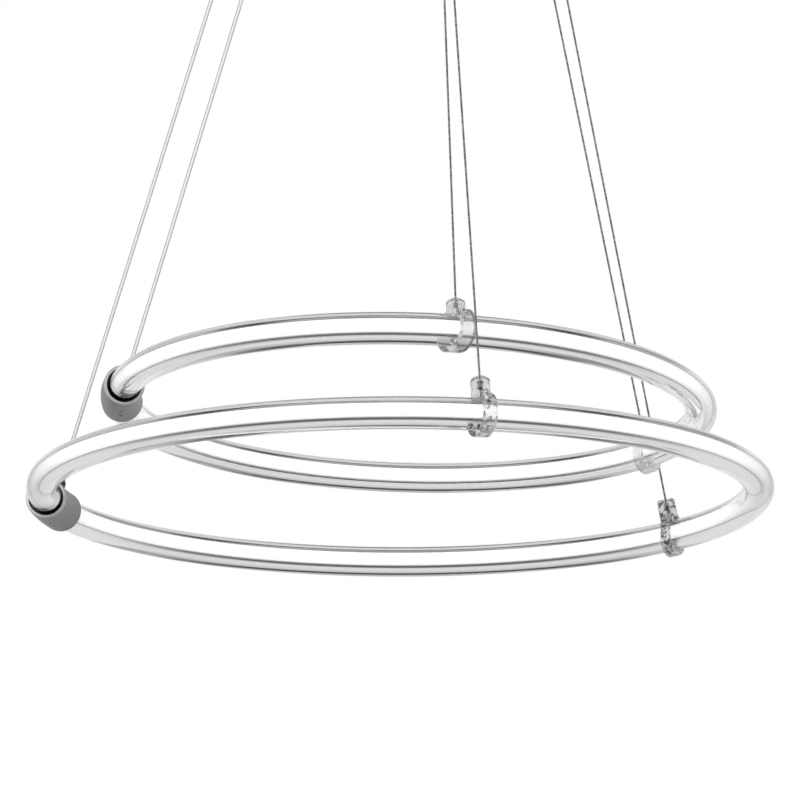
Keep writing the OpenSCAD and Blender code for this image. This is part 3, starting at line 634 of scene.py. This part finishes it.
class PENDANT_OT_collar_ends(bpy.types.Operator):
    """Make the collars' end rings, and the black bands in their bores and round their cores, painted shade in
    the collars' mouths
    """
    bl_idname = "pendant.collar_ends"
    bl_label = "Collar ends"

    def execute(self, context):
        for ring in RINGS:
            self.end_rings(ring)
            # Black bands in the collar's bore and round the core: painted shade in its mouth
            self.painted_shade_band(f"{ring}_collar_painted_shade", ring, circle_points(COLLAR_BORE / 2 - SEAT / 2, 64))
            self.painted_shade_band(f"{ring}_core_painted_shade", ring, circle_points(CORE_SHADE_RADIUS, 48, (0.0, CORE_LIFT)))
        return {"FINISHED"}

    def end_rings(self, ring):
        """Both end rings of a collar, with a finish for each band of their section; the black of their bore
        is painted shade, and the bright metal of their inner edge a painted highlight.
        """
        profile = [(radius, height) for radius, height, _ in LIP]
        made = [lathe(profile, collar_end(ring, side), LIP_SIDES) for side in (-1, 1)]
        bands = [finish_of(name) for name in LIP_FINISHES_AND_PAINTED_LIGHT]
        piece = joined(f"{ring}_end_rings_painted_light", made, bands[0], 20.0)
        for band in bands[1:]:
            piece.data.materials.append(band)
        of_face = [band for _, _, band in LIP for _ in range(LIP_SIDES)] * len(made)
        piece.data.polygons.foreach_set("material_index", of_face)
        settle(piece, f"{ring}_ring", "bright_metal", f"{ring}_end_rings")

    def painted_shade_band(self, name, ring, section):
        """An open black tube as long as the collar, painted shade seen in its mouth."""
        half = arc_degrees(ring, COLLAR_LENGTH / 2)
        piece = ring_sweep(name, ring, section, RING[ring]["collar"] - half, 2 * half, COLLAR_ROWS,
                           finish_of("black_plastic"), caps=False)
        settle(piece, f"{ring}_ring", "black_plastic")


class PENDANT_OT_wires(bpy.types.Operator):
    """Make the suspension wires, each of seven strands, with their tails above the grippers"""
    bl_idname = "pendant.wires"
    bl_label = "Suspension wires"

    def execute(self, context):
        sizes = context.scene.pendant_sizes
        for ring in RINGS:
            for index, which in enumerate(WIRES):
                base = on_ring(ring, RING[ring]["clips"][index])
                out = leaving(ring, index + 1)
                along = (out - base).normalized()
                start = base + along * (RING[ring]["boss"] - WIRE_DEPTH)
                mouth = base + along * (RING[ring]["boss"] + WIRE_SPLIT)
                piece = self.wire(f"{ring}_{which}_wire_end", start, mouth, sizes)
                settle(piece, f"{ring}_ring", "steel_wire")
                piece = self.wire(f"{ring}_{which}_wire_strands", mouth, out, sizes)
                settle(piece, CEILING, "steel_wire", f"{ring}_{which}_wire")
                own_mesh(piece)
                top = out + Vector((0, 0, WIRE_TAIL))
                piece = self.wire(f"{ring}_{which}_wire_tail", out, top, sizes)
                settle(piece, CEILING, "steel_wire")
        return {"FINISHED"}

    def wire(self, name, start, end, sizes):
        """A straight wire: six strands wound round a seventh, each as thick as a third of the wire."""
        radius = sizes.wire_diameter / 6
        turns = 1 / sizes.wire_pitch
        steps = max(int((end - start).length * turns * TURN_STEPS), LEAST_STEPS)
        line = straight(start, end, steps)
        made = [swept_line(line, radius, STRAND_SIDES)]
        for i in range(OUTER_STRANDS):
            twist = (2 * radius, turns, i * 2 * math.pi / OUTER_STRANDS)
            made.append(swept_line(line, radius, STRAND_SIDES, twist))
        return joined(name, made, finish_of("steel_wire"), 60.0)


class PENDANT_OT_cords(bpy.types.Operator):
    """Make the power cords: a clear jacket over two leads side by side, with a white filler between them"""
    bl_idname = "pendant.cords"
    bl_label = "Power cords"

    def execute(self, context):
        sizes = context.scene.pendant_sizes
        beside = sizes.lead_spacing / 2
        # Layer, radius, sides, its place beside the cord's middle, finish
        layers = (
            ("jacket", sizes.cord_diameter / 2, 24, None, "clear_cord"),
            ("lead_1", LEAD_RADIUS, 12, (beside, 0, 0), "lead_silver"),
            ("lead_2", LEAD_RADIUS, 12, (-beside, 0, 0), "lead_silver"),
            ("filler", FILLER_RADIUS, 12, None, "filler_white"),
        )
        for ring in RINGS:
            base = on_ring(ring, RING[ring]["collar"])
            out = leaving(ring, 0)
            along = (out - base).normalized()
            mouth = base + along * GRIP_TOP
            end = straight(base + along * CORD_START, mouth, steps=4)
            run = straight(mouth, out, steps=60)
            tail = self.tail(ring, out)
            for layer, radius, sides, place, finish in layers:
                for part, line in (("end", end), ("run", run), ("tail", tail)):
                    piece = joined(f"{ring}_cord_{layer}_{part}", [swept_line(line, radius, sides, place)],
                                   finish_of(finish))
                    stands_for = [f"{ring}_cord"] if (layer, part) == ("jacket", "run") else []
                    settle(piece, f"{ring}_ring" if part == "end" else CEILING, "clear_cord", *stands_for)
                    if part == "run":
                        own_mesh(piece)
        return {"FINISHED"}

    def tail(self, ring, out):
        """From the gland straight up, round a bend, and over to the driver."""
        top = Vector((out.x, out.y, TAIL_Z))
        end = Vector((TAIL_END_X, RING[ring]["driver_y"], TAIL_Z))
        across = (end - top).normalized()
        drop = Vector((0, 0, TAIL_BEND))
        points = straight(out, top - drop, steps=10)[:-1]
        for degrees in np.linspace(0, 90, 13):
            turn = math.radians(degrees)
            points.append(top + across * TAIL_BEND * (1 - math.cos(turn)) - drop * (1 - math.sin(turn)))
        return points + straight(points[-1], end, steps=12)[1:]


class PENDANT_OT_springs(bpy.types.Operator):
    """Make the release buttons' coil springs"""
    bl_idname = "pendant.springs"
    bl_label = "Button springs"

    def execute(self, context):
        turns = context.scene.pendant_sizes.spring_turns
        for ring in RINGS:
            for which in WIRES:
                node = f"{ring}_{which}_spring"
                low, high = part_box(node)
                coil = swept_line(self.coil_points(low, high, turns), SPRING_WIRE, 8)
                piece = joined(f"{node}_coil", [coil], finish_of("spring_steel"))
                settle(piece, CEILING, "spring_steel", node)
                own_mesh(piece)
        return {"FINISHED"}

    def coil_points(self, low, high, turns):
        """The middle of the wire of a coil that fills a box."""
        centre = (low + high) / 2
        radius = (high.x - low.x) / 2 - SPRING_WIRE
        steps = int(turns * SPRING_STEPS)
        points = []
        for i in range(steps + 1):
            turn = 2 * math.pi * turns * i / steps
            z = low.z + SPRING_WIRE + (high.z - low.z - 2 * SPRING_WIRE) * i / steps
            points.append((centre.x + radius * math.cos(turn), centre.y + radius * math.sin(turn), z))
        return points


class PENDANT_OT_stage(bpy.types.Operator):
    """Make the floor, the lamp, the white surroundings and the camera"""
    bl_idname = "pendant.stage"
    bl_label = "Stage"

    def execute(self, context):
        self.floor()
        self.world(context.scene)
        self.lamp(context.scene)
        self.camera(context.scene)
        context.scene.view_settings.view_transform = "Standard"
        return {"FINISHED"}

    def floor(self):
        """White to the camera, and clear from below and to glass and metal."""
        mat, bsdf = shader("floor")
        tree = mat.node_tree
        bsdf.inputs["Base Color"].default_value = (0.5, 0.5, 0.5, 1)
        bsdf.inputs["Roughness"].default_value = 0.9
        bsdf.inputs["Specular IOR Level"].default_value = 0.0
        path = tree.nodes.new("ShaderNodeLightPath")
        bright = tree.nodes.new("ShaderNodeEmission")
        clear = tree.nodes.new("ShaderNodeBsdfTransparent")
        geometry = tree.nodes.new("ShaderNodeNewGeometry")
        lit = switched(tree, path.outputs["Is Camera Ray"], bsdf.outputs["BSDF"], bright.outputs["Emission"])
        seen = either(tree, path.outputs["Is Glossy Ray"], path.outputs["Is Transmission Ray"])
        below = either(tree, seen, geometry.outputs["Backfacing"])
        shown = switched(tree, below, lit, clear.outputs["BSDF"])
        tree.links.new(shown, tree.nodes["Material Output"].inputs["Surface"])
        rim = circle_points(FLOOR_RADIUS, FLOOR_SIDES)
        floor = mesh_object("floor", [(x, y, FLOOR_Z) for x, y in rim], [range(FLOOR_SIDES)], mat)

    def world(self, scene):
        """White to the camera, the studio to glass and metal, and even light to everything else."""
        world = bpy.data.worlds.new("surroundings")
        scene.world = world
        world.use_nodes = True
        tree = world.node_tree
        coords = tree.nodes.new("ShaderNodeTexCoord")
        direction = coords.outputs["Generated"]
        bands = [(math.sin(math.radians(degrees)), level) for degrees, level in SURROUND]
        shade = grey_by_lean(tree, direction, bands)
        for patch in DARK:
            shade = self.darkened(tree, direction, shade, *patch)
        soft = tree.nodes["Background"]
        soft.inputs["Color"].default_value = (0.8, 0.8, 0.8, 1)
        around = tree.nodes.new("ShaderNodeBackground")
        tree.links.new(shade, around.inputs["Color"])
        white = tree.nodes.new("ShaderNodeBackground")
        white.inputs["Color"].default_value = (1, 1, 1, 1)
        path = tree.nodes.new("ShaderNodeLightPath")
        seen = either(tree, path.outputs["Is Glossy Ray"], path.outputs["Is Transmission Ray"])
        through = switched(tree, seen, soft.outputs["Background"], around.outputs["Background"])
        shown = switched(tree, path.outputs["Is Camera Ray"], through, white.outputs["Background"])
        tree.links.new(shown, tree.nodes["World Output"].inputs["Surface"])

    def darkened(self, tree, direction, shade, azimuth, elevation, full, none, taken):
        """The studio's shade with a soft dark patch round one direction."""
        right, up = math.radians(azimuth), math.radians(elevation)
        level = math.cos(up)
        near = tree.nodes.new("ShaderNodeVectorMath")
        near.operation = "DOT_PRODUCT"
        near.inputs[1].default_value = (math.sin(right) * level, math.cos(right) * level, math.sin(up))
        fade = tree.nodes.new("ShaderNodeMapRange")
        fade.interpolation_type = "SMOOTHSTEP"
        fade.inputs["From Min"].default_value = math.cos(math.radians(none))
        fade.inputs["From Max"].default_value = math.cos(math.radians(full))
        fade.inputs["To Min"].default_value = 1.0
        fade.inputs["To Max"].default_value = 1.0 - taken
        dim = tree.nodes.new("ShaderNodeVectorMath")
        dim.operation = "SCALE"
        tree.links.new(direction, near.inputs[0])
        tree.links.new(near.outputs["Value"], fade.inputs["Value"])
        tree.links.new(shade, dim.inputs[0])
        tree.links.new(fade.outputs["Result"], dim.inputs["Scale"])
        return dim.outputs["Vector"]

    def lamp(self, scene):
        """A wide lamp at the left of the camera, aimed at the rings."""
        light = bpy.data.lights.new("key", "AREA")
        light.size = LAMP_SIZE
        light.energy = LAMP_POWER
        lamp = bpy.data.objects.new("key", light)
        lamp.location = LAMP_PLACE
        lamp.rotation_mode = "QUATERNION"
        lamp.rotation_quaternion = (Vector(LAMP_AIM) - Vector(LAMP_PLACE)).to_track_quat("-Z", "Y")
        scene.collection.objects.link(lamp)

    def camera(self, scene):
        """The photograph's viewpoint: below the rings, looking a little up."""
        yaw, pitch, roll = (math.radians(a) for a in CAMERA_TURN)
        ahead = Vector((math.sin(yaw) * math.cos(pitch), math.cos(yaw) * math.cos(pitch), math.sin(pitch)))
        right = Vector((math.cos(yaw), -math.sin(yaw), 0.0))
        up = right.cross(ahead)
        across = right * math.cos(roll) + up * math.sin(roll)
        upward = up * math.cos(roll) - right * math.sin(roll)
        camera = bpy.data.objects.new("camera", bpy.data.cameras.new("camera"))
        camera.data.lens = CAMERA_LENS
        camera.data.sensor_width = 36.0
        camera.data.clip_start = 0.1
        camera.data.clip_end = 200.0
        turn = Matrix((across, upward, -ahead)).transposed().to_4x4()
        camera.matrix_world = Matrix.Translation(CAMERA_PLACE) @ turn
        scene.collection.objects.link(camera)
        scene.camera = camera


class PENDANT_PT_pieces(bpy.types.Panel):
    """The light's sizes, colours and pieces"""
    bl_label = "Ring pendant"
    bl_idname = "PENDANT_PT_pieces"
    bl_space_type = "VIEW_3D"
    bl_region_type = "UI"
    bl_category = "Pendant"

    def draw(self, context):
        layout = self.layout
        for settings in (context.scene.pendant_sizes, context.scene.pendant_colours):
            box = layout.box()
            for name in settings.__annotations__:
                box.prop(settings, name)
        for operator in OPERATORS:
            layout.operator(operator.bl_idname)


OPERATORS = (
    PENDANT_OT_finishes,
    PENDANT_OT_tubes,
    PENDANT_OT_collar_ends,
    PENDANT_OT_wires,
    PENDANT_OT_cords,
    PENDANT_OT_springs,
    PENDANT_OT_stage,
)
CLASSES = (PendantSizes, PendantColours, *OPERATORS, PENDANT_PT_pieces)


def register():
    for cls in CLASSES:
        bpy.utils.register_class(cls)
    bpy.types.Scene.pendant_sizes = bpy.props.PointerProperty(type=PendantSizes)
    bpy.types.Scene.pendant_colours = bpy.props.PointerProperty(type=PendantColours)


def unregister():
    del bpy.types.Scene.pendant_colours
    del bpy.types.Scene.pendant_sizes
    for cls in reversed(CLASSES):
        bpy.utils.unregister_class(cls)


def main():
    register()
    bpy.ops.pendant.finishes()
    bpy.ops.pendant.tubes()
    bpy.ops.pendant.collar_ends()
    bpy.ops.pendant.wires()
    bpy.ops.pendant.cords()
    bpy.ops.pendant.springs()
    bpy.ops.pendant.stage()


if __name__ == "__main__":
    main()
